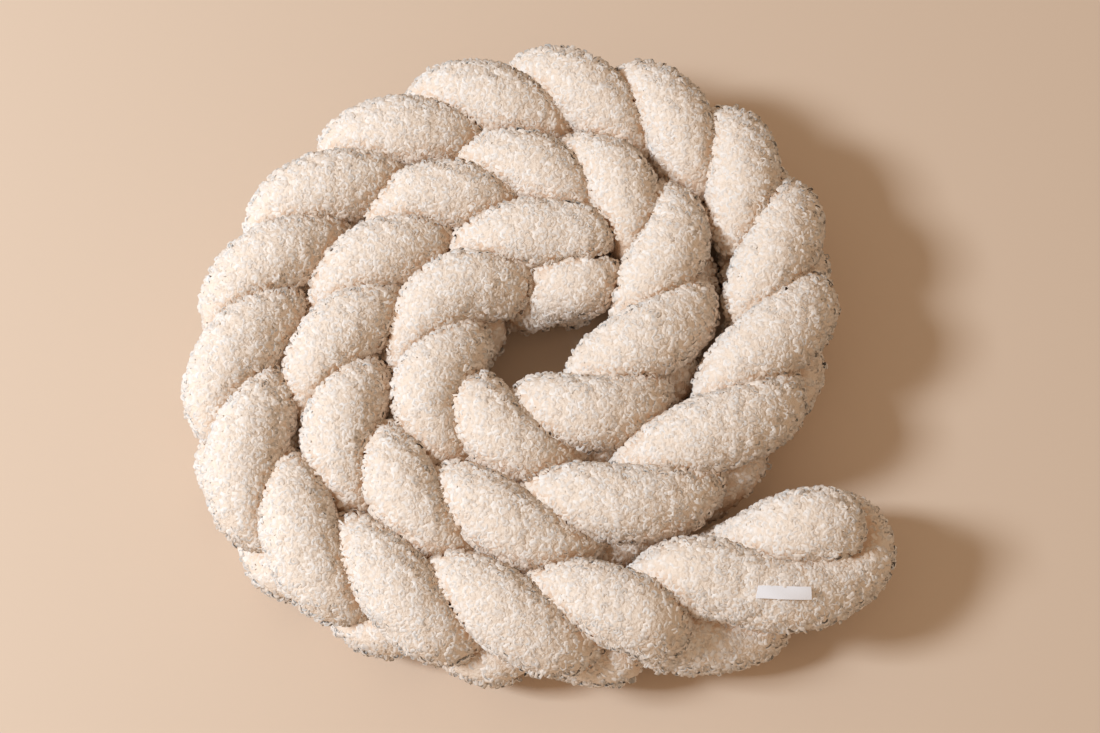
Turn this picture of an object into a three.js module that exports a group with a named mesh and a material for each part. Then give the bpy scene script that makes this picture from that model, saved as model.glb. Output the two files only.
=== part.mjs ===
// Braided crib bumper: three stuffed bouclé tubes in a flat plait that stands on its edge,
// lying in a loose coil of nearly three turns. Millimetres, +Z up, the floor at z = 0.
import * as THREE from 'three';

// Driving sizes
const STRANDS = 3;
const STRAND_RADIUS = 36.5; // one stuffed tube, with its pile
const RISE = 34; // a strand swings this far above and below the middle of the braid
const SWING = 17; // and about this far to either side of it
const CROSSING = 0.2; // how much quicker it changes sides inside the braid than on top of it
const SINK = 5; // the weight presses the bottom of each low lobe flat by this much
const MID_HEIGHT = RISE + STRAND_RADIUS - SINK; // middle of the braid above the floor
const GAP = 1; // left between two surfaces that press on each other
const GIVE = 5; // more room where they press deep, as the filling moves away
const LEAST_RADIUS = 4; // of a strand in its most pressed direction
const SOFTNESS = 6; // how sharply a pressed side turns into the free round side

// Faceting
const SIDES = 14; // corners in a section
const RING_STEP = 24; // between sections along a strand
const TRACE_STEP = 6; // between the points of a path that its neighbours press against
const CAP_ANGLES = [18, 40, 64]; // sections on a rounded end, degrees round from its tip

// The coil, one row for each lobe on top of the braid, outer end first. The bearing is counted
// anticlockwise from the right, the radius from the middle of the coil.
const COIL_MIDDLE = { right: -27, back: -12 };
const LOBES = [
  // bearing_deg, radius_mm
  [327, 312], [313, 290], [292, 257], [269, 239], [246, 237], [223, 246], [201, 245],
  [178, 238], [157, 234], [135, 235], [113, 244], [93, 259], [74, 274], [56, 283],
  [39, 283], [22, 269], [3, 242], [338, 203], [303, 170], [268, 157], [235, 159],
  [205, 162], [173, 151], [140, 150], [110, 168], [82, 187], [57, 195], [33, 176],
  [5, 128], [320, 90], [262, 73], [204, 74], [126, 78], [80, 120],
];

// The ends, where the strands leave the plait. Rows run outward from lobe number 'from' to the
// strand's tip, measured from the first lobe at the outer end and from the last at the inner one.
const OUTER_ENDS = [
  {
    from: 2.75,
    rows: [
      // right_mm, back_mm, height_mm
      [-80, -22, 48], [-42, -10, 75], [-2, 2, 100], [28, 5, 99], [54, 8, 94],
    ],
  },
  {
    from: 2.25,
    rows: [
      [-22, -49, 87], [18, -38, 76], [50, -10, 66], [41, 14, 60], [16, 19, 50], [-20, 16, 42],
      [-50, 10, 40],
    ],
  },
  {
    from: 2.75,
    rows: [[-125, -76, 54], [-78, -74, 42], [-44, -64, 38], [-12, -50, 37]],
  },
];
const INNER_ENDS = [
  { from: 34, rows: [[42, 0, 95], [76, -5, 86]] },
  { from: 33.5, rows: [[-4, -38, 50], [20, -38, 72], [48, -37, 82], [84, -31, 78]] },
  { from: 33.5, rows: [[-6, -16, 58], [14, -14, 42], [38, -30, 36], [66, -38, 36]] },
];

// The sewn ribbon on the second strand: its middle along the strand and round it
const LABEL = {
  length: 40, width: 11, thickness: 1.2, seat: 0.6, fromTip: 216, turn_deg: 109, slant_deg: 0,
};

const CREAM = 0xefe4d4;
const WHITE = 0xf4f3f6;
const UP = new THREE.Vector3(0, 0, 1);

function lobePlace([bearing, radius]) {
  const angle = THREE.MathUtils.degToRad(bearing);
  return new THREE.Vector3(
    COIL_MIDDLE.right + radius * Math.cos(angle),
    COIL_MIDDLE.back + radius * Math.sin(angle),
    0,
  );
}

const lobePlaces = LOBES.map(lobePlace);
const coil = new THREE.CatmullRomCurve3(lobePlaces, false, 'catmullrom', 0.5);

// Point of a strand at a lobe number: over the top at its own lobes, under the bottom half way
// between two of them, and from the outer to the inner side as it crosses the top.
function plaitPoint(strand, lobe) {
  const along = (lobe - 1) / (LOBES.length - 1);
  const heading = coil.getTangent(along);
  const outward = new THREE.Vector3(-heading.y, heading.x, 0);
  const phase = Math.PI / 2 + (2 * Math.PI * (lobe - 1 - strand)) / STRANDS;
  const sideways = Math.sin(2 * phase) + CROSSING * Math.sin(4 * phase);
  const place = coil.getPoint(along).addScaledVector(outward, SWING * sideways);
  place.z = MID_HEIGHT + RISE * Math.sin(phase);
  return place;
}

function endPoints(rows, lobe) {
  return rows.map(([right, back, height]) => new THREE.Vector3(lobe.x + right, lobe.y + back, height));
}

function strandCurve(strand) {
  const outer = OUTER_ENDS[strand];
  const inner = INNER_ENDS[strand];
  const points = endPoints(outer.rows, lobePlaces[0]).reverse();
  for (let lobe = outer.from; lobe <= inner.from; lobe += 0.25) {
    points.push(plaitPoint(strand, lobe));
  }
  points.push(...endPoints(inner.rows, lobePlaces.at(-1)));
  const curve = new THREE.CatmullRomCurve3(points, false, 'catmullrom', 0.5);
  curve.arcLengthDivisions = 2000;
  return curve;
}

const curves = Array.from({ length: STRANDS }, (_, strand) => strandCurve(strand));

// Points along each strand, with their distance from its tip, that the strands press against
const traces = curves.map((curve) => {
  const count = Math.round(curve.getLength() / TRACE_STEP);
  const step = curve.getLength() / count;
  const points = curve.getSpacedPoints(count).map((place, i) => ({ place, distance: i * step }));
  return points.slice(3, -3);
});

// Frame of a section: a level axis to the right of the strand's heading, and the upward one.
function sectionFrame(curve, distance) {
  const length = curve.getLength();
  const reach = 8;
  const place = curve.getPointAt(distance / length);
  const heading = curve.getTangentAt(distance / length);
  const before = curve.getTangentAt(Math.max(distance - reach, 0) / length);
  const after = curve.getTangentAt(Math.min(distance + reach, length) / length);
  const bend = after.sub(before).divideScalar(2 * reach);
  const level = new THREE.Vector3().crossVectors(heading, UP).normalize();
  const upright = new THREE.Vector3().crossVectors(level, heading);
  return { place, bend, level, upright };
}

// Half the way, in one direction, to the nearest point of another strand or of a later turn.
function pressedRadius(strand, distance, frame, direction) {
  let pressed = Infinity;
  traces.forEach((trace, other) => {
    trace.forEach((point) => {
      const same = other === strand && Math.abs(point.distance - distance) < 2.2 * STRAND_RADIUS;
      const away = point.place.clone().sub(frame.place);
      const far = away.lengthSq();
      const toward = direction.dot(away) + GAP;
      if (same || toward <= 0) return;
      pressed = Math.min(pressed, (far - GAP * GAP) / (2 * toward));
    });
  });
  const give = GIVE * Math.max(1 - pressed / STRAND_RADIUS, 0);
  return Math.max(pressed - give, LEAST_RADIUS);
}

// Radius of a strand in one direction: round where it is free, flattened where it is pressed,
// and no more than its own bend has room for.
function strandRadius(strand, distance, frame, direction) {
  const curl = frame.bend.dot(direction);
  const bent = curl > 0 ? 0.9 / curl : Infinity;
  const limits = [STRAND_RADIUS, pressedRadius(strand, distance, frame, direction), bent];
  const sum = limits.reduce((total, limit) => total + (STRAND_RADIUS / limit) ** SOFTNESS, 0);
  return STRAND_RADIUS * sum ** (-1 / SOFTNESS);
}

// Point of a strand's surface, no lower than the floor.
function surfacePoint(strand, distance, frame, angle, scale, lift) {
  const direction = frame.level.clone().multiplyScalar(Math.cos(angle));
  direction.addScaledVector(frame.upright, Math.sin(angle));
  const radius = strandRadius(strand, distance, frame, direction) * scale + lift;
  const point = frame.place.clone().addScaledVector(direction, radius);
  if (point.z < 0) {
    point.copy(frame.place).addScaledVector(direction, frame.place.z / -direction.z);
    point.z = 0;
  }
  return point;
}

// Closed skin over rings of points, with a single point at each end.
function closedSkin(first, rings, last) {
  const sides = rings[0].length;
  const positions = [first, ...rings.flat(), last].flatMap((point) => point.toArray());
  const corner = (ring, side) => 1 + ring * sides + (side % sides);
  const lastRing = rings.length - 1;
  const end = 1 + rings.length * sides;
  const faces = [];
  for (let side = 0; side < sides; side += 1) {
    faces.push(0, corner(0, side), corner(0, side + 1));
    for (let ring = 0; ring < lastRing; ring += 1) {
      faces.push(corner(ring, side), corner(ring + 1, side), corner(ring, side + 1));
      faces.push(corner(ring, side + 1), corner(ring + 1, side), corner(ring + 1, side + 1));
    }
    faces.push(end, corner(lastRing, side + 1), corner(lastRing, side));
  }
  const geometry = new THREE.BufferGeometry();
  geometry.setAttribute('position', new THREE.Float32BufferAttribute(positions, 3));
  geometry.setIndex(faces);
  geometry.computeVertexNormals();
  return geometry;
}

// Distances of the sections along a strand, and how full each is: its two tips are round.
function stations(length) {
  const cap = CAP_ANGLES.map((degrees) => {
    const angle = THREE.MathUtils.degToRad(degrees);
    return { distance: STRAND_RADIUS * (1 - Math.cos(angle)), scale: Math.sin(angle) };
  });
  const middle = length - 2 * STRAND_RADIUS;
  const count = Math.round(middle / RING_STEP);
  const body = Array.from({ length: count + 1 }, (_, i) => (
    { distance: STRAND_RADIUS + (middle * i) / count, scale: 1 }
  ));
  const farCap = cap.map(({ distance, scale }) => ({ distance: length - distance, scale })).reverse();
  return [...cap, ...body, ...farCap];
}

function strandGeometry(strand) {
  const curve = curves[strand];
  const rings = stations(curve.getLength()).map(({ distance, scale }) => {
    const frame = sectionFrame(curve, distance);
    return Array.from({ length: SIDES }, (_, side) => {
      const angle = (2 * Math.PI * (side + 0.5)) / SIDES - Math.PI / 2;
      return surfacePoint(strand, distance, frame, angle, scale, 0);
    });
  });
  return closedSkin(curve.getPointAt(0), rings, curve.getPointAt(1));
}

// The ribbon follows the surface of its strand along five sections.
function labelGeometry(strand) {
  const half = LABEL.width / 2 / STRAND_RADIUS;
  const top = LABEL.seat + LABEL.thickness;
  const rings = [-0.5, -0.25, 0, 0.25, 0.5].map((part) => {
    const distance = LABEL.fromTip + part * LABEL.length;
    const frame = sectionFrame(curves[strand], distance);
    const turn = THREE.MathUtils.degToRad(LABEL.turn_deg + part * LABEL.slant_deg);
    const corner = (angle, lift) => surfacePoint(strand, distance, frame, angle, 1, lift);
    return [
      corner(turn - half, LABEL.seat), corner(turn - half, top),
      corner(turn + half, top), corner(turn + half, LABEL.seat),
    ];
  });
  const middleOf = (ring) => ring.reduce((sum, p) => sum.add(p), new THREE.Vector3()).divideScalar(4);
  return closedSkin(middleOf(rings[0]), rings, middleOf(rings.at(-1)));
}

function clothMesh(name, geometry, colour, roughness) {
  const material = new THREE.MeshStandardMaterial({ color: colour, roughness, metalness: 0 });
  const mesh = new THREE.Mesh(geometry, material);
  mesh.name = name;
  return mesh;
}

const group = new THREE.Group();
for (let strand = 0; strand < STRANDS; strand += 1) {
  group.add(clothMesh(`strand_${strand + 1}`, strandGeometry(strand), CREAM, 0.95));
}
group.add(clothMesh('label', labelGeometry(1), WHITE, 0.7));

export default group;
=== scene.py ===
import math

import bpy
import numpy as np
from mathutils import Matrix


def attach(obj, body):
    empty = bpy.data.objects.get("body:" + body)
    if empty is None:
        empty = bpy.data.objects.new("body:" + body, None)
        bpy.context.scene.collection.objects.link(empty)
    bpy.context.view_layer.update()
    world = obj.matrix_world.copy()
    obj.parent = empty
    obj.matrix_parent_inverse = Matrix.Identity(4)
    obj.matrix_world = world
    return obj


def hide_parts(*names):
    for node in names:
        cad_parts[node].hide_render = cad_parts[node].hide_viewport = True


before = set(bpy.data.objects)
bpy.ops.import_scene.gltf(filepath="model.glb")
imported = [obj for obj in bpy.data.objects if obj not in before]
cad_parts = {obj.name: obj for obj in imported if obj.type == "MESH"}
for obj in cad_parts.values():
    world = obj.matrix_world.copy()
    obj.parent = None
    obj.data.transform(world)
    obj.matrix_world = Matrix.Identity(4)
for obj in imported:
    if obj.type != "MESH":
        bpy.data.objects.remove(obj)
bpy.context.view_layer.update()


# The lie of the braid: one plait of three strands, about 3 m long, set on its edge and wound by hand
# into a loose coil of nearly three turns. A strand comes over the top at every lobe, and the outer
# end is led off to the right.
COIL_MIDDLE = (-0.027, -0.012)
# Bearing of each lobe in degrees anticlockwise from the right, and its distance from the middle of
# the coil in metres, outer end first.
LOBES = np.array([
    (327, 0.312), (313, 0.290), (292, 0.257), (269, 0.239), (246, 0.237), (223, 0.246),
    (201, 0.245), (178, 0.238), (157, 0.234), (135, 0.235), (113, 0.244), (93, 0.259),
    (74, 0.274), (56, 0.283), (39, 0.283), (22, 0.269), (3, 0.242), (338, 0.203),
    (303, 0.170), (268, 0.157), (235, 0.159), (205, 0.162), (173, 0.151), (140, 0.150),
    (110, 0.168), (82, 0.187), (57, 0.195), (33, 0.176), (5, 0.128), (320, 0.090),
    (262, 0.073), (204, 0.074), (126, 0.078), (80, 0.120),
])


def unit(vectors):
    """Each vector divided by its length."""
    return vectors / np.maximum(np.linalg.norm(vectors, axis=-1, keepdims=True), 1e-12)


def curve_through(points, at):
    """Smooth curve through the points, read at point numbers that may be fractions: between two
    points it is the cubic whose slope at each is half the step from the point before to the one
    after. The first and last steps are carried on past the ends."""
    carried = np.vstack([2 * points[0] - points[1], points, 2 * points[-1] - points[-2]])
    start = np.clip(np.floor(at).astype(int), 0, len(points) - 2)
    t = (at - start)[:, None]
    before, here, there, after = (carried[start + step] for step in range(4))
    square = 2 * before - 5 * here + 4 * there - after
    cube = 3 * here - before - 3 * there + after
    return here + 0.5 * ((there - before) * t + square * t**2 + cube * t**3)


bearings = np.radians(LOBES[:, 0])
lobe_places = COIL_MIDDLE + LOBES[:, 1:] * np.column_stack([np.cos(bearings), np.sin(bearings)])


# The run of each strand: over the top of the braid at its own lobes, under the bottom half way
# between two of them, and from the outer side to the inner one as it crosses. The ends are free:
# at the outer one the second strand turns back round the tip of the first.
STRANDS = 3
STRAND_RADIUS = 0.0365
RISE = 0.034
SWING = 0.017
CROSSING = 0.2
SINK = 0.005
MID_HEIGHT = RISE + STRAND_RADIUS - SINK
# Part of a lobe over which the heading is taken, parts of a lobe to a plaited point, and steps of
# the fine curve to a point.
HEADING_STEP = 0.003
LOBE_PARTS = 4
FINE_STEPS = 40
# The lobe where each strand leaves the plait, and the places of its free end out to the tip, as
# right, back and height in metres, from the first lobe at the outer end and the last at the inner.
OUTER_ENDS = (
    (2.75, ((-0.080, -0.022, 0.048), (-0.042, -0.010, 0.075), (-0.002, 0.002, 0.100),
            (0.028, 0.005, 0.099), (0.054, 0.008, 0.094))),
    (2.25, ((-0.022, -0.049, 0.087), (0.018, -0.038, 0.076), (0.050, -0.010, 0.066),
            (0.041, 0.014, 0.060), (0.016, 0.019, 0.050), (-0.020, 0.016, 0.042),
            (-0.050, 0.010, 0.040))),
    (2.75, ((-0.125, -0.076, 0.054), (-0.078, -0.074, 0.042), (-0.044, -0.064, 0.038),
            (-0.012, -0.050, 0.037))),
)
INNER_ENDS = (
    (34.0, ((0.042, 0.000, 0.095), (0.076, -0.005, 0.086))),
    (33.5, ((-0.004, -0.038, 0.050), (0.020, -0.038, 0.072), (0.048, -0.037, 0.082),
            (0.084, -0.031, 0.078))),
    (33.5, ((-0.006, -0.016, 0.058), (0.014, -0.014, 0.042), (0.038, -0.030, 0.036),
            (0.066, -0.038, 0.036))),
)


def plaited(strand, lobe):
    """Points of a strand at lobe numbers. With p = a quarter turn plus a third of a turn for each
    lobe past its own, it stands rise x sin p above the middle of the braid and
    swing x (sin 2p + crossing x sin 4p) to its outer side."""
    at = lobe - 1
    last = len(lobe_places) - 1
    ahead = curve_through(lobe_places, np.minimum(at + HEADING_STEP, last))
    heading = unit(ahead - curve_through(lobe_places, np.maximum(at - HEADING_STEP, 0)))
    outward = np.column_stack([-heading[:, 1], heading[:, 0]])
    phase = math.pi / 2 + 2 * math.pi * (at - strand) / STRANDS
    sideways = SWING * (np.sin(2 * phase) + CROSSING * np.sin(4 * phase))
    flat = curve_through(lobe_places, at) + outward * sideways[:, None]
    return np.column_stack([flat, MID_HEIGHT + RISE * np.sin(phase)])


def strand_run(strand, step):
    """The middle line of a strand from its outer tip to its inner one: the curve through its end
    places and the plaited points of every quarter lobe, cut into equal steps. Returns the distance
    from the outer tip and the points."""
    leaves, outer = OUTER_ENDS[strand]
    joins, inner = INNER_ENDS[strand]
    outer = np.array(outer)[::-1] + np.append(lobe_places[0], 0)
    inner = np.array(inner) + np.append(lobe_places[-1], 0)
    lobes = np.linspace(leaves, joins, round(LOBE_PARTS * (joins - leaves)) + 1)
    places = np.vstack([outer, plaited(strand, lobes), inner])
    fine = curve_through(places, np.linspace(0, len(places) - 1, FINE_STEPS * len(places)))
    gone = np.append(0, np.cumsum(np.linalg.norm(np.diff(fine, axis=0), axis=1)))
    distance = np.linspace(0, gone[-1], round(gone[-1] / step) + 1)
    return distance, np.column_stack([np.interp(distance, gone, axis) for axis in fine.T])


# The strands: three tubes of cream bouclé cloth, sewn up along their length and at both ends and
# stuffed full with soft fibre. They press each other flat where they meet and on the floor, and
# stay round outside. The cloth lies under its pile, which reaches the full radius.
PILE_DEPTH = 0.0030
PRESSED_GAP = 0.0010
SOFTNESS = 6
CLOTH_SIDES = 38
CLOTH_STEP = 0.0078
# Neighbours are points along the strands, less a few at the tips, and less those of the same strand
# that are within this many radii along it.
NEIGHBOUR_STEP = 0.004
NEIGHBOURS = 160
TIP_POINTS = 5
OWN_STRETCH = 2.2
BEND_REACH = 0.008
BEND_ROOM = 0.9
# The cloth starts to lie under its pile where it is free to this share of the full radius.
PILE_STARTS = 0.9
FLOOR_CLEAR = 0.004
LUMP = 0.0011
LUMP_SIZE = (0.030, 0.080)
LUMP_WAVES = 14
LUMP_SEED = 11
KNOTS_A_METRE = 230
KNOT_HEIGHT = 0.0025
# The darker cloth colour is painted shade. The cloth takes it in the creases where strands press
# together, and in the low parts of the knots' bump.
CLOTH_PAINTED_SHADE = (0.66, 0.47, 0.33, 1)
CLOTH_LIGHT = (0.80, 0.70, 0.60, 1)

neighbour_runs = [strand_run(strand, NEIGHBOUR_STEP) for strand in range(STRANDS)]
inner_points = slice(TIP_POINTS, -TIP_POINTS)
neighbour_points = np.vstack([points[inner_points] for _, points in neighbour_runs])
neighbour_distance = np.concatenate([distance[inner_points] for distance, _ in neighbour_runs])
neighbour_strand = np.repeat(range(STRANDS), [len(points[inner_points]) for _, points in neighbour_runs])


def pressed_reach(strand, distance, middle, direction, gap):
    """How far a strand reaches in each direction before a neighbour stops it: to the plane half way
    to a neighbour's middle at d, less half the gap, which is (d.d - g.g) / 2 (n.d + g) for g the
    gap, and the least of that over the nearest neighbours."""
    away = neighbour_points - middle[:, None]
    far = np.einsum("rni,rni->rn", away, away)
    along = np.abs(neighbour_distance - distance[:, None])
    far[(neighbour_strand == strand) & (along < OWN_STRETCH * STRAND_RADIUS)] = np.inf
    nearest = np.argpartition(far, NEIGHBOURS, axis=1)[:, :NEIGHBOURS]
    far = np.take_along_axis(far, nearest, 1)[:, None]
    away = np.take_along_axis(away, nearest[..., None], 1)
    toward = np.einsum("rsi,rni->rsn", direction, away) + gap
    reach = (far - gap**2) / (2 * np.maximum(toward, 1e-6))
    return np.where(toward > 1e-6, reach, np.inf).min(-1)


def section_axes(distance, middle):
    """Axes of the sections of a strand: the level one to the right of its heading, the one square to
    both that points up, and the bend, which is the change of heading over 8 mm to either side."""
    heading = unit(np.gradient(middle, distance, axis=0))
    step = distance[1] - distance[0]
    reach = max(round(BEND_REACH / step), 1)
    bend = np.zeros_like(heading)
    bend[reach:-reach] = (heading[2 * reach:] - heading[:-2 * reach]) / (2 * reach * step)
    level = unit(np.cross(heading, (0, 0, 1)))
    return level, np.cross(level, heading), bend


def strand_surface(strand, distance, middle, turn, under, gap):
    """Surface of a strand at distances along it and turns round it. The radius is a soft minimum of
    the full radius, the pressed reach and the room in the strand's own bend: the sum of their
    powers -6, to the power -1/6. It is less by the depth under the pile, rounds off as a circle
    over the last radius at each tip, and stops at the floor. Returns the points, the outward
    directions, and how free each place is: the pressed reach over the full radius."""
    level, upright, bend = section_axes(distance, middle)
    direction = level[:, None] * np.cos(turn)[..., None] + upright[:, None] * np.sin(turn)[..., None]
    free = pressed_reach(strand, distance, middle, direction, gap) / STRAND_RADIUS
    curl = np.einsum("ri,rsi->rs", bend, direction)
    room = np.where(curl > 1e-6, BEND_ROOM / np.maximum(curl, 1e-6), np.inf) / STRAND_RADIUS
    radius = STRAND_RADIUS * (1 + free**-SOFTNESS + room**-SOFTNESS)**(-1 / SOFTNESS)
    radius = radius - under * np.clip(3 * (free - PILE_STARTS), 0, 1)
    tip = np.minimum(distance, distance[-1] - distance) / STRAND_RADIUS
    radius = radius * np.sqrt(1 - (1 - np.minimum(tip, 1))**2)[:, None]
    down = np.maximum(-direction[..., 2], 1e-6)
    radius = np.minimum(radius, middle[:, None, 2] / down)
    return middle[:, None] + direction * radius[..., None], direction, free


def waves(points, seed, count, shortest, longest):
    """Slow unevenness from -1 to 1: the mean of seeded sine waves in random directions, with
    lengths from shortest to longest, doubled."""
    draw = np.random.default_rng(seed)
    way = unit(draw.normal(size=(count, 3)))
    steep = way * (2 * math.pi / draw.uniform(shortest, longest, (count, 1)))
    start = draw.uniform(0, 2 * math.pi, count)
    return np.clip(2 * np.sin(points @ steep.T + start).mean(-1), -1, 1)


def tube_faces(rings, sides):
    """Triangles of a closed tube whose points are one at its start, then its rings, then one at its
    end."""
    side = np.arange(sides)
    after = (side + 1) % sides
    first = 1 + sides * np.arange(rings - 1)[:, None]
    near, beside = first + side, first + after
    walls = [near, near + sides, beside, beside, near + sides, beside + sides]
    last = 1 + sides * (rings - 1)
    start_cap = np.column_stack([np.zeros(sides, int), 1 + side, 1 + after])
    end_cap = np.column_stack([np.full(sides, last + sides), last + after, last + side])
    return np.vstack([start_cap, np.stack(walls, -1).reshape(-1, 3), end_cap])


def sewn_piece(name, points, faces, material, tone=None):
    """An object with its place in its mesh, smooth all over, and with its tone at each point."""
    mesh = bpy.data.meshes.new(name)
    mesh.vertices.add(len(points))
    mesh.vertices.foreach_set("co", np.asarray(points, np.float32).ravel())
    mesh.loops.add(faces.size)
    mesh.loops.foreach_set("vertex_index", faces.astype(np.int32).ravel())
    mesh.polygons.add(len(faces))
    mesh.polygons.foreach_set("loop_start", np.arange(0, faces.size, faces.shape[1], dtype=np.int32))
    mesh.polygons.foreach_set("use_smooth", np.ones(len(faces), bool))
    mesh.update(calc_edges=True)
    if tone is not None:
        mesh.attributes.new("tone", "FLOAT", "POINT").data.foreach_set("value", tone.astype(np.float32))
    mesh.materials.append(material)
    piece = bpy.data.objects.new(name, mesh)
    bpy.context.scene.collection.objects.link(piece)
    return piece


class Value:
    """A shader socket. Sums on it add Math nodes to its finish."""

    def __init__(self, finish, socket):
        self.finish = finish
        self.socket = socket

    def worked(self, operation, first, second):
        return self.finish.node("ShaderNodeMath", {"operation": operation}, {0: first, 1: second})

    def __add__(self, other):
        return self.worked("ADD", self, other)

    def __sub__(self, other):
        return self.worked("SUBTRACT", self, other)

    def __rsub__(self, other):
        return self.worked("SUBTRACT", other, self)

    def __mul__(self, other):
        return self.worked("MULTIPLY", self, other)

    __radd__ = __add__
    __rmul__ = __mul__


class Finish:
    """A material with one Principled shader."""

    def __init__(self, name, roughness):
        self.material = bpy.data.materials.new(name)
        self.material.use_nodes = True
        self.tree = self.material.node_tree
        self.shader = self.tree.nodes["Principled BSDF"]
        self.shader.inputs["Roughness"].default_value = roughness

    def node(self, kind, settings, sockets, output=0):
        """Adds a node. Its settings are set first, then each socket gets a value or a link."""
        added = self.tree.nodes.new(kind)
        for name, value in settings.items():
            setattr(added, name, value)
        for name, value in sockets.items():
            self.feed(added.inputs[name], value)
        return Value(self, added.outputs[output])

    def feed(self, socket, value):
        if isinstance(value, Value):
            self.tree.links.new(value.socket, socket)
        else:
            socket.default_value = value

    def blend(self, part, first, second):
        """A colour that is the first where part is 0 and the second where it is 1."""
        return self.node("ShaderNodeMix", {"data_type": "RGBA"}, {0: part, 6: first, 7: second}, 2)

    def grain(self, scale, detail):
        """Noise from 0 to 1 on the object's own coordinates, scale in lumps a metre."""
        place = self.node("ShaderNodeTexCoord", {}, {}, "Object")
        return self.node("ShaderNodeTexNoise", {}, {"Vector": place, "Scale": scale, "Detail": detail})

    def tone(self):
        return self.node("ShaderNodeAttribute", {"attribute_name": "tone"}, {}, "Fac")


boucle_cloth = Finish("boucle_cloth", 0.95)
cloth_knots = boucle_cloth.grain(KNOTS_A_METRE, 3)
# The cloth's colour is painted shade: darker where the tone is low in the pressed creases, and where the
# knot noise that also makes the bump is low.
cloth_crease_and_knot_shade = boucle_cloth.tone() * 0.7 + cloth_knots * 0.6 - 0.15
boucle_cloth.feed(boucle_cloth.shader.inputs["Base Color"],
                  boucle_cloth.blend(cloth_crease_and_knot_shade, CLOTH_PAINTED_SHADE, CLOTH_LIGHT))
boucle_cloth.feed(boucle_cloth.shader.inputs["Normal"], boucle_cloth.node(
    "ShaderNodeBump", {}, {"Height": cloth_knots, "Strength": 0.9, "Distance": KNOT_HEIGHT}))
boucle_cloth.shader.inputs["Specular IOR Level"].default_value = 0

cloths = []
for strand in range(STRANDS):
    distance, middle = strand_run(strand, CLOTH_STEP)
    turn = np.tile(np.arange(CLOTH_SIDES) * (2 * math.pi / CLOTH_SIDES), (len(distance), 1))
    surface, direction, free = strand_surface(strand, distance, middle, turn, PILE_DEPTH, PRESSED_GAP)
    lumps = LUMP * waves(surface, LUMP_SEED + strand, LUMP_WAVES, *LUMP_SIZE)
    untouched = np.clip((free - 1) * 4, 0, 1) * (surface[..., 2] > FLOOR_CLEAR)
    surface = surface + direction * (lumps * untouched)[..., None]
    cloths.append((distance, surface, direction, free))
    rings = surface[1:-1]
    points = np.vstack([middle[:1], rings.reshape(-1, 3), middle[-1:]])
    # The tone is painted shade: it falls to 0 where the strand is pressed by a neighbour or close to one,
    # so the cloth is darker in the creases.
    tone = np.concatenate([[1], np.clip((free[1:-1].ravel() - 0.95) * 3, 0, 1), [1]])
    cloth = sewn_piece(f"cloth_{strand + 1}", points, tube_faces(len(rings), CLOTH_SIDES),
                       boucle_cloth.material, tone)
    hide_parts(f"strand_{strand + 1}")
    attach(cloth, "root")


# The label: a narrow white woven ribbon, about 50 mm long, sewn down by its edges on the second
# strand, near the outer end. Its length is counted along the middle of the strand, which bends, so
# it is longer when flat. It is left bare.
LABEL_LENGTH = 0.040
LABEL_WIDTH = 0.011
LABEL_THICKNESS = 0.0008
LABEL_SEAT = 0.0008
LABEL_FROM_TIP = 0.216
LABEL_TURN = math.radians(109)
# The ends turn further down the strand than the middle, by this angle times their part squared.
LABEL_SAG = math.radians(14)
LABEL_WAVE = 0.0003
LABEL_STEP = 0.004
LABEL_ROWS = 25
LABEL_COLUMNS = 9
LABEL_SHARP = 0.7
LABEL_STRAND = 1
RIBBON_WHITE = (0.94, 0.96, 1.0, 1)
RIBBON_SHADE = (0.85, 0.87, 0.95, 1)


def ribbon(along, across, lift):
    """Points of the ribbon, its two parts counted from -0.5 to 0.5: the surface of its strand at the
    pile's full radius, straight between sections 4 mm apart, raised by the lift."""
    run, run_middle = strand_run(LABEL_STRAND, LABEL_STEP)
    sag = LABEL_SAG * np.clip((run - LABEL_FROM_TIP) / LABEL_LENGTH, -0.6, 0.6)**2
    turn = LABEL_TURN + sag[:, None] + across * LABEL_WIDTH / STRAND_RADIUS
    surface, direction, _ = strand_surface(LABEL_STRAND, run, run_middle, turn, 0, PRESSED_GAP)
    place = (LABEL_FROM_TIP + along * LABEL_LENGTH) / run[1]
    low = np.floor(place).astype(int)
    past = (place - low)[:, None, None]
    seat = surface[low] * (1 - past) + surface[low + 1] * past
    outward = direction[low] * (1 - past) + direction[low + 1] * past
    return seat + outward * lift[..., None]


ribbon_along = np.linspace(-0.5, 0.5, LABEL_ROWS)
ribbon_across = np.linspace(-0.5, 0.5, LABEL_COLUMNS)
ribbon_wave = LABEL_WAVE * np.sin(7 * ribbon_along[:, None] + 3 * ribbon_across)
woven_top = ribbon(ribbon_along, ribbon_across, LABEL_SEAT + LABEL_THICKNESS + ribbon_wave)
woven_under = ribbon(ribbon_along, ribbon_across, LABEL_SEAT + ribbon_wave)
ribbon_rings = np.concatenate([woven_top, woven_under[:, ::-1]], axis=1)
ribbon_points = np.vstack([
    ribbon_rings[0].mean(0), ribbon_rings.reshape(-1, 3), ribbon_rings[-1].mean(0)])

label_ribbon = Finish("label_ribbon", 0.6)
weave = label_ribbon.grain(1400, 1)
label_ribbon.feed(label_ribbon.shader.inputs["Base Color"],
                  label_ribbon.blend(weave, RIBBON_SHADE, RIBBON_WHITE))
label_ribbon.feed(label_ribbon.shader.inputs["Normal"], label_ribbon.node(
    "ShaderNodeBump", {}, {"Height": weave, "Strength": 0.4, "Distance": 0.0003}))
ribbon_faces = tube_faces(LABEL_ROWS, 2 * LABEL_COLUMNS)[:, ::-1]
label = sewn_piece("woven_label", ribbon_points, ribbon_faces, label_ribbon.material)
label.data.set_sharp_from_angle(angle=LABEL_SHARP)
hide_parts("label")
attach(label, "root")
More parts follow.
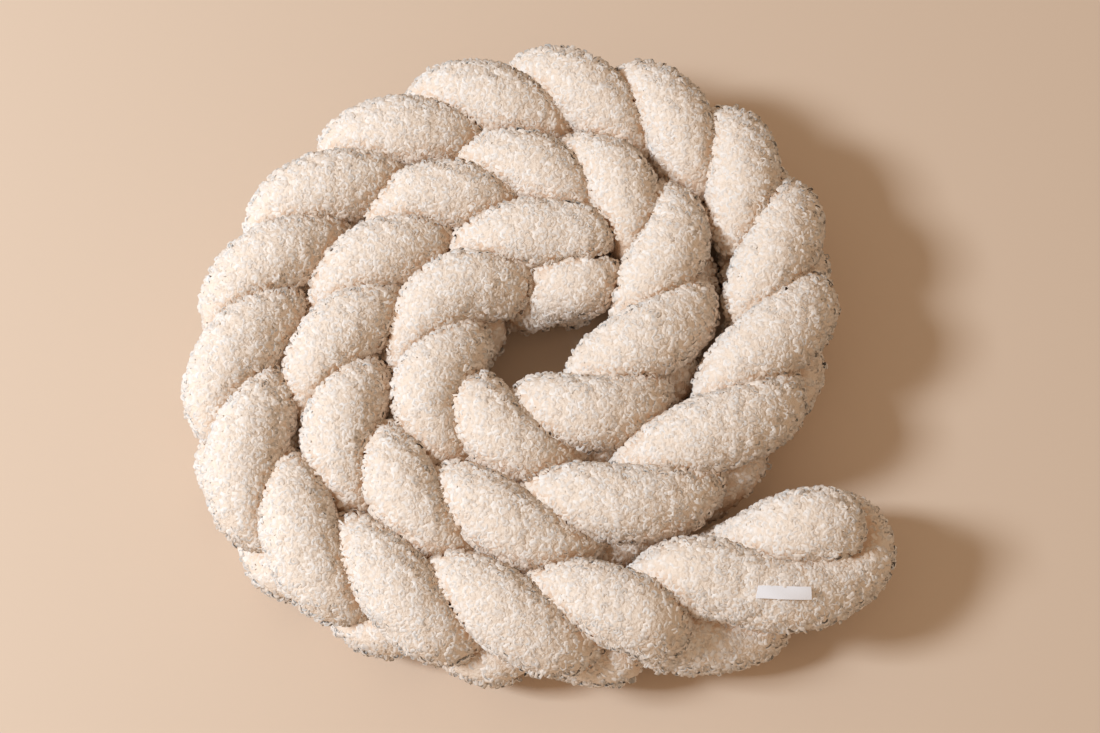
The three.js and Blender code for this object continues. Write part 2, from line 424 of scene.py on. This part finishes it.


# The pile: curls of soft cream yarn that stand up all over the cloth, each held in it by its two
# ends. They lie close and every way round, in low tufts, with painted shade that makes them darker
# down in the cloth than at the top.
CURL_SPACING = 0.0042
CURL_PARTS = np.array([-0.5, -0.36, -0.12, 0.12, 0.36, 0.5])
CURL_RADIUS = (0.0014, 0.0031)
CURL_SWEEP = (180, 330)
CURL_HEIGHT = (0.0008, 0.0028)
TUFT_HEIGHT = 0.0012
TUFT_SIZE = (0.010, 0.022)
TUFT_SHADE = 2.0
TUFT_STEP = 0.001
TUFT_WAVES = 24
TUFT_SEED = 5
CURL_LEAN = (-15, 60)
CURL_SOFT = 1.7
CURL_TUCK = 0.0016
# One curl in seven strays: it leans further, in degrees, stands higher and is thinner.
STRAYS = 0.14
STRAY_LEAN = 35
STRAY_HEIGHT = 0.0008
STRAY_THINNING = 0.4
YARN_RADIUS = (0.0014, 0.0020)
YARN_SIDES = 3
YARN_TAPER = np.array([0.85, 1, 1, 0.85])
FLOOR_GAP = 0.0004
# The tone at the cloth, and the height over it that takes the tone from 0 to 1. This is painted shade,
# darker down toward the cloth.
FOOT_TONE = 0.25
TONE_HEIGHT = 0.0034
# The darker curl colour is painted shade for curls down in the pile and in the creases. It is also the
# darker end of the curls' random tone.
CURL_TAN_AND_PAINTED_SHADE = (0.77, 0.61, 0.47, 1)
CURL_LIGHT = (0.83, 0.79, 0.75, 1)


def grid_read(grid, row, column):
    """Value of a grid at fractions of its rows and columns, straight between the nearest four; the
    columns go round."""
    low = np.floor(row).astype(int)
    left = np.floor(column).astype(int)
    down = (row - low)[:, None]
    right = (column - left)[:, None]
    sides = grid.shape[1]
    left, beside = left % sides, (left + 1) % sides
    upper = grid[low, left] * (1 - right) + grid[low, beside] * right
    lower = grid[low + 1, left] * (1 - right) + grid[low + 1, beside] * right
    return upper * (1 - down) + lower * down


def tuft_rise(places):
    """How far the tufts raise the pile at each place: slow waves up and down."""
    return TUFT_HEIGHT * waves(places, TUFT_SEED, TUFT_WAVES, *TUFT_SIZE)


def curls(feet, outward, tone_and_crease_shade, draw):
    """Curls of yarn on the cloth. Each path is most of a circle with a random radius, sweep and
    heading, raised off the cloth by the curl's height, tucked down at its ends, and leaning up from
    the cloth by a random angle. The yarn round it has three sides and pointed ends. Its normals
    lean toward the cloth's own, tilted by the slope of the tufts, as loose fibres scatter light."""
    count = len(feet)
    across = unit(np.cross(outward, draw.normal(size=(count, 3))))
    ahead = np.cross(outward, across)
    sweep = np.radians(draw.uniform(*CURL_SWEEP, (count, 1))) * CURL_PARTS
    radius = draw.uniform(*CURL_RADIUS, (count, 1))
    stray = draw.random((count, 1)) < STRAYS
    lean = np.radians(draw.uniform(*CURL_LEAN, (count, 1)) + STRAY_LEAN * stray)
    bow = radius * (np.cos(sweep) - np.cos(sweep).mean(1, keepdims=True))
    forth = radius * np.sin(sweep)
    soft = outward
    for side in (across, ahead):
        rise = tuft_rise(feet + TUFT_STEP * side) - tuft_rise(feet - TUFT_STEP * side)
        soft = soft - side * (TUFT_SHADE * rise / (2 * TUFT_STEP))[:, None]
    soft = unit(soft)
    height = draw.uniform(*CURL_HEIGHT, (count, 1)) + tuft_rise(feet)[:, None] + STRAY_HEIGHT * stray
    lift = height - CURL_TUCK * (2 * CURL_PARTS)**4
    slope = across[:, None] * np.cos(lean)[..., None] + outward[:, None] * np.sin(lean)[..., None]
    path = (feet[:, None] + slope * bow[..., None] + ahead[:, None] * forth[..., None]
            + outward[:, None] * lift[..., None])
    lift = lift + bow * np.sin(lean)
    heading = unit(np.gradient(path, axis=1))
    flank = unit(np.cross(heading, np.cross(slope, ahead[:, None])))
    crown = np.cross(flank, heading)
    yarn = draw.uniform(*YARN_RADIUS, (count, 1)) * (1 - STRAY_THINNING * stray) * YARN_TAPER
    corner = math.pi / 2 + np.arange(YARN_SIDES) * (2 * math.pi / YARN_SIDES)
    round_yarn = (flank[:, 1:-1, None] * np.cos(corner)[:, None]
                  + crown[:, 1:-1, None] * np.sin(corner)[:, None])
    rings = path[:, 1:-1, None] + round_yarn * yarn[..., None, None]
    points = np.concatenate([path[:, :1], rings.reshape(count, -1, 3), path[:, -1:]], axis=1)
    points[..., 2] = np.maximum(points[..., 2], FLOOR_GAP)
    normals = np.concatenate([-heading[:, :1], round_yarn.reshape(count, -1, 3), heading[:, -1:]], axis=1)
    normals = unit(normals + CURL_SOFT * soft[:, None])
    around = [1, *[YARN_SIDES] * len(YARN_TAPER), 1]
    # Painted shade: the tone is low near the cloth and rises with the curl's height, so the pile is
    # darker down in it. It is then scaled by each curl's random tone and painted crease shade.
    tone = np.clip(FOOT_TONE + lift / TONE_HEIGHT, 0, 1)
    tone = np.repeat(tone, around, axis=1) * tone_and_crease_shade[:, None]
    faces = tube_faces(len(YARN_TAPER), YARN_SIDES)
    every = faces + points.shape[1] * np.arange(count)[:, None, None]
    return points.reshape(-1, 3), every.reshape(-1, 3), tone.ravel(), normals.reshape(-1, 3)


curl_yarn = Finish("curl_yarn", 0.9)
fibre = curl_yarn.grain(900, 2)
# The yarn's colour mixes the tone attribute's painted shade and random tone with the fibre noise's random
# grain.
curl_grain_and_painted_shade = curl_yarn.tone() * 0.85 + fibre * 0.3 - 0.1
curl_yarn.feed(curl_yarn.shader.inputs["Base Color"],
               curl_yarn.blend(curl_grain_and_painted_shade, CURL_TAN_AND_PAINTED_SHADE, CURL_LIGHT))
curl_yarn.shader.inputs["Specular IOR Level"].default_value = 0

PILE_SHARES = (0.5, 0.5)
PILE_SEED = 31
# Curls grow where a strand is free to this share of its radius and the cloth is off the floor. Only
# some grow where they are hidden: low between two turns, or facing the floor.
FREE_ENOUGH = 0.82
CURL_FLOOR = 0.0035
HIDDEN_BELOW = 0.06
HIDDEN_FREE = 3
HIDDEN_FACING = -0.7
HIDDEN_SHARE = 0.3
LABEL_BARE = (0.49, 0.0046)
SHADE_SPREAD = (0.55, 1.0)
for strand, (distance, surface, direction, free) in enumerate(cloths):
    draw = np.random.default_rng(PILE_SEED + strand)
    along = round(distance[-1] / CURL_SPACING)
    about = round(2 * math.pi * STRAND_RADIUS / CURL_SPACING)
    row = (np.arange(along)[:, None] + draw.random((along, about))) / along * (len(distance) - 1.001)
    column = (np.arange(about) + draw.random((along, about))) / about * CLOTH_SIDES
    row, column = row.ravel(), column.ravel()
    lengthwise = np.gradient(surface, axis=0)
    roundwise = np.roll(surface, -1, axis=1) - np.roll(surface, 1, axis=1)
    outward = np.cross(roundwise, lengthwise)
    outward = outward * np.sign(np.einsum("rsi,rsi->rs", outward, direction))[..., None]
    feet = grid_read(surface, row, column)
    stand = unit(grid_read(unit(outward), row, column))
    open_place = grid_read(np.minimum(free, 9)[..., None], row, column)[:, 0]
    kept = (open_place > FREE_ENOUGH) & (feet[:, 2] > CURL_FLOOR)
    hidden = (feet[:, 2] < HIDDEN_BELOW) & (open_place < HIDDEN_FREE)
    hidden |= stand[:, 2] < HIDDEN_FACING
    kept &= ~hidden | (draw.random(len(feet)) < HIDDEN_SHARE)
    if strand == LABEL_STRAND:
        gone = row / (len(distance) - 1) * distance[-1]
        bearing = column * (2 * math.pi / CLOTH_SIDES)
        part = (gone - LABEL_FROM_TIP) / LABEL_LENGTH
        aside = (bearing - LABEL_TURN) * STRAND_RADIUS
        kept &= (np.abs(part) > LABEL_BARE[0]) | (np.abs(aside) > LABEL_BARE[1])
    feet, stand, open_place = feet[kept], stand[kept], open_place[kept]
    # Each curl gets a random tone, multiplied by painted shade that darkens it where the strand is
    # pressed, in the creases between strands.
    tone_and_crease_shade = draw.uniform(*SHADE_SPREAD, len(feet)) * np.clip(0.45 + (open_place - 0.9) * 2, 0, 1)
    shares = draw.choice(len(PILE_SHARES), len(feet), p=PILE_SHARES)
    for share in range(len(PILE_SHARES)):
        some = shares == share
        points, faces, tone, normals = curls(feet[some], stand[some], tone_and_crease_shade[some], draw)
        pile = sewn_piece(f"pile_{strand + 1}_{share + 1}", points, faces, curl_yarn.material, tone)
        soft = pile.data.attributes.new("custom_normal", "FLOAT_VECTOR", "POINT")
        soft.data.foreach_set("vector", normals.astype(np.float32).ravel())
        # Loose fibre lets light through, so the curls stop neither the light nor its bounces.
        pile.visible_shadow = False
        pile.visible_diffuse = False
        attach(pile, "root")


# The floor, the light and the camera: a plain pale beige floor, one soft light from the left, and
# warm light from all round.
FLOOR_BEIGE = (0.655, 0.515, 0.395, 1)
FLOOR_HALF = 6.0
ROOM_COLOUR = (1.0, 0.76, 0.55, 1)
ROOM_STRENGTH = 0.50
KEY_COLOUR = (0.84, 0.935, 1.04)
floor_paint = Finish("floor_paint", 0.85)
floor_paint.shader.inputs["Base Color"].default_value = FLOOR_BEIGE
floor = sewn_piece("floor", np.array([
    (-FLOOR_HALF, -FLOOR_HALF, 0), (FLOOR_HALF, -FLOOR_HALF, 0),
    (FLOOR_HALF, FLOOR_HALF, 0), (-FLOOR_HALF, FLOOR_HALF, 0)]), np.array([[0, 1, 2, 3]]),
    floor_paint.material)

scene = bpy.context.scene
world = bpy.data.worlds.new("warm_room")
scene.world = world
world.use_nodes = True
world.node_tree.nodes["Background"].inputs["Color"].default_value = ROOM_COLOUR
world.node_tree.nodes["Background"].inputs["Strength"].default_value = ROOM_STRENGTH


def soft_light(name, bearing, elevation, away, size, watts, colour):
    """A square light that faces the middle of the coil from a bearing and an elevation."""
    lamp = bpy.data.lights.new(name, "AREA")
    lamp.shape = "SQUARE"
    lamp.size = size
    lamp.energy = watts
    lamp.color = colour
    light = bpy.data.objects.new(name, lamp)
    turn, tilt = math.radians(bearing), math.radians(elevation)
    light.location = (away * math.cos(tilt) * math.cos(turn), away * math.cos(tilt) * math.sin(turn),
                      away * math.sin(tilt))
    light.rotation_euler = (0, math.pi / 2 - tilt, turn)
    scene.collection.objects.link(light)


soft_light("key_light", bearing=186, elevation=42, away=4.0, size=0.85, watts=154, colour=KEY_COLOUR)

CAMERA_AIM = (0.013, -0.012, 0.070)
CAMERA_ELEVATION = math.radians(68)
CAMERA_AWAY = 2.240
lens = bpy.data.cameras.new("camera")
lens.lens = 80
lens.sensor_width = 36
camera = bpy.data.objects.new("camera", lens)
camera.location = (CAMERA_AIM[0], CAMERA_AIM[1] - CAMERA_AWAY * math.cos(CAMERA_ELEVATION),
                   CAMERA_AIM[2] + CAMERA_AWAY * math.sin(CAMERA_ELEVATION))
camera.rotation_euler = (math.pi / 2 - CAMERA_ELEVATION, 0, 0)
scene.collection.objects.link(camera)
scene.camera = camera
scene.view_settings.view_transform = "Standard"
